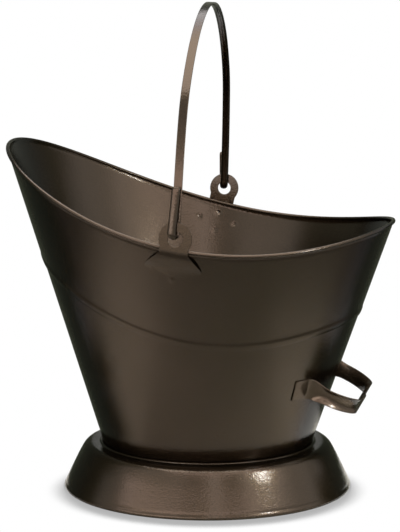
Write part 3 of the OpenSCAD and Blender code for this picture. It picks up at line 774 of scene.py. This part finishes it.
# Floor, backdrop and light
darkCloth = (0.12, 0.135, 0.10, 1)
studio = {
    "paper": (0.66, 0.66, 0.66, 1),
    "floorHalf": 5.0,
    "floorLow": -0.0002,        # just under the foot ring
    "contact": 0.036,           # how far from the object the seen floor starts to dim, and how dark it gets
    "shadow": 0.45,
    "shadowLean": radians(45),  # the look for cover leans to the back, so the shadow lies in front
    "open": (0.66, 0.93),       # full shadow below the first share of open sky, none above the second
    "fade": (0.8, 1.4),         # how far out the mirrored floor turns plain white
    "world": 0.30,
    "aim": (0.0, 0.0, 0.2),
    "front": 11.5,              # the camera's own direction round the bucket
    "softboxes": (
        # name, degrees right of the camera, elevation, distance, width, height, brightness, colour, and
        # whether it lights the floor
        ("keySpot", 51, 21.8, 0.646, 0.085, 0.09, 72.0, (0.90, 0.98, 1.06), False),
        ("keySoft", 54, 30, 1.15, 0.8, 0.6, 1.0, (1.0, 0.90, 0.88), True),
        ("keyWide", 68, 26, 1.3, 1.6, 0.8, 0.5, (1.0, 0.94, 0.90), True),
        ("leftFill", -46, 25, 1.2, 0.9, 0.7, 0.65, (1.0, 0.92, 0.88), True),
        ("overhead", 0, 98, 1.4, 1.8, 2.1, 5.0, (1.0, 0.93, 0.91), False),
        ("frontLow", -32, 7, 2.3, 2.6, 0.66, 5.5, (1.0, 0.90, 0.87), False),
        ("frontTall", 7, 37, 2.0, 0.36, 1.5, 2.0, (1.0, 0.90, 0.87), False),
    ),
    "pools": (
        # degrees right of the camera and distance out on the floor, spread, power, colour
        (74, 0.21, 14, 270, (1.0, 1.0, 0.95)),
        (-54, 0.38, 22, 240, (1.0, 0.93, 0.86)),
        (6, 0.42, 16, 75, (0.97, 1.0, 0.84)),
        (42, 0.42, 16, 45, (0.84, 1.0, 0.66)),
        (80, 0.45, 16, 30, (0.85, 1.0, 0.75)),
        (180, 0.34, 40, 240, (1.0, 0.95, 0.88)),
        (30, 0.20, 12, 55, (1.0, 0.97, 0.86)),
    ),
    "poolLamp": (55, 1.6, 0.15),    # elevation, distance and radius of each pool's lamp
    "curtains": (
        # name, radius, bottom, top, from and to in degrees right of the camera, glow; then how far the edges
        # fade: degrees at the ends, share of the height at the top and bottom
        ("lowCurtainRight", 0.28, 0.0, 0.27, 99, 150, darkCloth, 9, 0.12),
        ("lowCurtainLeft", 0.28, 0.0, 0.27, 210, 262, darkCloth, 9, 0.12),
        ("sillRight", 0.28, 0.0, 0.07, 79, 104, darkCloth, 9, 0.4),
        ("sillLeft", 0.28, 0.0, 0.07, 257, 281, darkCloth, 24, 1.0),
        ("footCurtain", 0.172, 0.0, 0.085, 222, 294, darkCloth, 26, 0.8),
        ("midCurtainRight", 0.40, 0.07, 0.36, 104, 150, darkCloth, 9, 0.12),
        ("midCurtainLeft", 0.40, 0.07, 0.36, 210, 270, darkCloth, 9, 0.12),
        ("highCurtain", 0.50, 0.20, 0.85, 126, 278, (0.36, 0.375, 0.32, 1), 9, 0.12),
        ("frontStrip", 0.85, 0.33, 0.48, -74, 42, (4.1, 3.5, 3.4, 1), 9, 0.12),
        ("innerStrip", 0.80, 0.78, 1.0, -2, 62, (4.1, 3.5, 3.4, 1), 14, 0.25),
        ("nearStrip", 0.36, 0.31, 0.39, -35, 20, (4.4, 3.7, 3.6, 1), 9, 0.12),
    ),
    "curtainGrid": (90, 20),
}


def makeFloor():
    # white paper: seen rays get white, dimmed only where the object stands close over it; mirrored rays get
    # the lit sheet near the object, fading outward to plain white; all other rays get the matt sheet
    paper = bpy.data.materials.new("floorPaper")
    paper.use_nodes = True
    nodes, links = paper.node_tree.nodes, paper.node_tree.links
    nodes.clear()

    def math(kind, a, b):
        m = nodes.new("ShaderNodeMath")
        m.operation = kind
        for k, v in enumerate((a, b)):
            if isinstance(v, (int, float)):
                m.inputs[k].default_value = v
            else:
                links.new(v, m.inputs[k])
        return m.outputs[0]

    def spread(value, limits, outLimits):
        m = nodes.new("ShaderNodeMapRange")
        m.interpolation_type = "SMOOTHSTEP"
        m.inputs["From Min"].default_value, m.inputs["From Max"].default_value = limits
        m.inputs["To Min"].default_value, m.inputs["To Max"].default_value = outLimits
        links.new(value, m.inputs["Value"])
        return m.outputs["Result"]

    path = nodes.new("ShaderNodeLightPath")
    where = nodes.new("ShaderNodeTexCoord")
    reach = nodes.new("ShaderNodeVectorMath")
    reach.operation = "LENGTH"
    links.new(where.outputs["Object"], reach.inputs[0])
    cover = nodes.new("ShaderNodeAmbientOcclusion")
    cover.samples = 32
    cover.inputs["Distance"].default_value = studio["contact"]
    lean = nodes.new("ShaderNodeCombineXYZ")
    back = -around(0, 0, sin(studio["shadowLean"])) + Vector((0, 0, cos(studio["shadowLean"])))
    for axis, value in zip("XYZ", back):
        lean.inputs[axis].default_value = value
    links.new(lean.outputs[0], cover.inputs["Normal"])
    openness = spread(cover.outputs["AO"], studio["open"], (studio["shadow"], 1.0))
    seen = path.outputs["Is Camera Ray"]
    plain = math("ADD", seen, math("MULTIPLY", path.outputs["Is Glossy Ray"],
                                   spread(reach.outputs["Value"], studio["fade"], (0.0, 1.0))))
    level = math("SUBTRACT", 1.0, math("MULTIPLY", seen, math("SUBTRACT", 1.0, openness)))
    matt = nodes.new("ShaderNodeBsdfDiffuse")
    matt.inputs["Color"].default_value = studio["paper"]
    white = nodes.new("ShaderNodeEmission")
    links.new(level, white.inputs["Strength"])
    mixed = nodes.new("ShaderNodeMixShader")
    links.new(plain, mixed.inputs["Fac"])
    links.new(matt.outputs[0], mixed.inputs[1])
    links.new(white.outputs[0], mixed.inputs[2])
    out = nodes.new("ShaderNodeOutputMaterial")
    links.new(mixed.outputs[0], out.inputs["Surface"])
    mesh = bpy.data.meshes.new("floor")
    size, low = studio["floorHalf"], studio["floorLow"]
    mesh.from_pydata([(-size, -size, low), (size, -size, low), (size, size, low), (-size, size, low)], [],
                     [(0, 1, 2, 3)])
    mesh.materials.append(paper)
    floor = bpy.data.objects.new("floor", mesh)
    bpy.context.scene.collection.objects.link(floor)


def makeWorld():
    # white to seen and mirrored rays, a plain grey level to everything else
    world = bpy.data.worlds.new("studio")
    world.use_nodes = True
    nodes, links = world.node_tree.nodes, world.node_tree.links
    back = nodes["Background"]
    path = nodes.new("ShaderNodeLightPath")
    seen = nodes.new("ShaderNodeMath")
    seen.operation = "MAXIMUM"
    links.new(path.outputs["Is Camera Ray"], seen.inputs[0])
    links.new(path.outputs["Is Glossy Ray"], seen.inputs[1])
    level = nodes.new("ShaderNodeMapRange")
    level.inputs["To Min"].default_value = studio["world"]
    level.inputs["To Max"].default_value = 1.0
    links.new(seen.outputs[0], level.inputs["Value"])
    links.new(level.outputs["Result"], back.inputs["Strength"])
    back.inputs["Color"].default_value = (1, 1, 1, 1)
    bpy.context.scene.world = world


def around(azimuth, elevation, distance):
    # azimuth in degrees to the right of the camera, seen from the bucket
    a, e = radians(azimuth + studio["front"]), radians(elevation)
    return Vector((sin(a) * cos(e), -cos(a) * cos(e), sin(e))) * distance


def addSoftbox(name, azimuth, elevation, distance, width, height, brightness, colour, lightsFloor):
    # an area lamp whose power grows with its area, so its brightness stays the same at any size
    aim = Vector(studio["aim"])
    place = aim + around(azimuth, elevation, distance)
    light = bpy.data.lights.new(name, "AREA")
    light.shape = "RECTANGLE"
    light.size, light.size_y = width, height
    light.energy = brightness * pi * width * height
    light.color = colour
    lamp = bpy.data.objects.new(name, light)
    lamp.location = place
    lamp.rotation_euler = (aim - place).to_track_quat("-Z", "Y").to_euler()
    lamp.visible_diffuse = lightsFloor
    bpy.context.scene.collection.objects.link(lamp)


def addPool(azimuth, out, spread, power, colour):
    # soft pool of light on the floor, which the bucket's leaning wall mirrors; its lamp is never mirrored
    light = bpy.data.lights.new("pool", "SPOT")
    light.energy = power
    light.spot_size = radians(spread)
    light.spot_blend = 1.0
    elevation, distance, radius = studio["poolLamp"]
    light.shadow_soft_size = radius
    light.color = colour
    at = around(azimuth, 0, out)
    place = at + around(azimuth, elevation, distance)
    lamp = bpy.data.objects.new("pool", light)
    lamp.location = place
    lamp.rotation_euler = (at - place).to_track_quat("-Z", "Y").to_euler()
    lamp.visible_glossy = False
    bpy.context.scene.collection.objects.link(lamp)


def addCurtain(name, radius, bottom, top, start, stop, glow, turn, share):
    # cloth on a cylinder of that radius, which only mirrored rays meet: dark round the back and sides, bright
    # strips in front; its cover falls smoothly from 1 to 0 across each edge, but not where it stands on the
    # floor
    cols, rows = studio["curtainGrid"]
    rise = share * (top - bottom)
    u = np.linspace(start - turn / 2, stop + turn / 2, cols)[:, None]
    v = np.linspace(max(bottom - rise / 2, 0.0), top + rise / 2, rows)[None, :]
    a = np.radians(u + studio["front"])
    points = np.stack(np.broadcast_arrays(np.sin(a) * radius, -np.cos(a) * radius, v), -1)
    ends = smoothStep(0.5 + np.minimum(u - start, stop - u) / turn)
    foot = smoothStep(0.5 + (v - bottom) / rise) if bottom > 0 else 1.0
    cover = ends * foot * smoothStep(0.5 + (top - v) / rise)
    corner = np.arange(cols - 1)[:, None] * rows + np.arange(rows - 1)[None, :]
    quads = np.stack([corner, corner + rows, corner + rows + 1, corner + 1], -1)
    cloth = bpy.data.materials.new(name)
    cloth.use_nodes = True
    nodes, links = cloth.node_tree.nodes, cloth.node_tree.links
    nodes.clear()
    shine = nodes.new("ShaderNodeEmission")
    shine.inputs["Color"].default_value = glow
    clear = nodes.new("ShaderNodeBsdfTransparent")
    held = nodes.new("ShaderNodeAttribute")
    held.attribute_name = "cover"
    mixed = nodes.new("ShaderNodeMixShader")
    out = nodes.new("ShaderNodeOutputMaterial")
    links.new(held.outputs["Fac"], mixed.inputs[0])
    links.new(clear.outputs[0], mixed.inputs[1])
    links.new(shine.outputs[0], mixed.inputs[2])
    links.new(mixed.outputs[0], out.inputs["Surface"])
    mesh = bpy.data.meshes.new(name)
    mesh.from_pydata(points.reshape(-1, 3).tolist(), [], quads.reshape(-1, 4).tolist())
    mesh.attributes.new("cover", "FLOAT", "POINT").data.foreach_set("value", cover.ravel())
    mesh.materials.append(cloth)
    curtain = bpy.data.objects.new(name, mesh)
    curtain.visible_camera = curtain.visible_diffuse = curtain.visible_shadow = False
    bpy.context.scene.collection.objects.link(curtain)


makeFloor()
makeWorld()
for box in studio["softboxes"]:
    addSoftbox(*box)
for pool in studio["pools"]:
    addPool(*pool)
for curtain in studio["curtains"]:
    addCurtain(*curtain)
print("studio set")
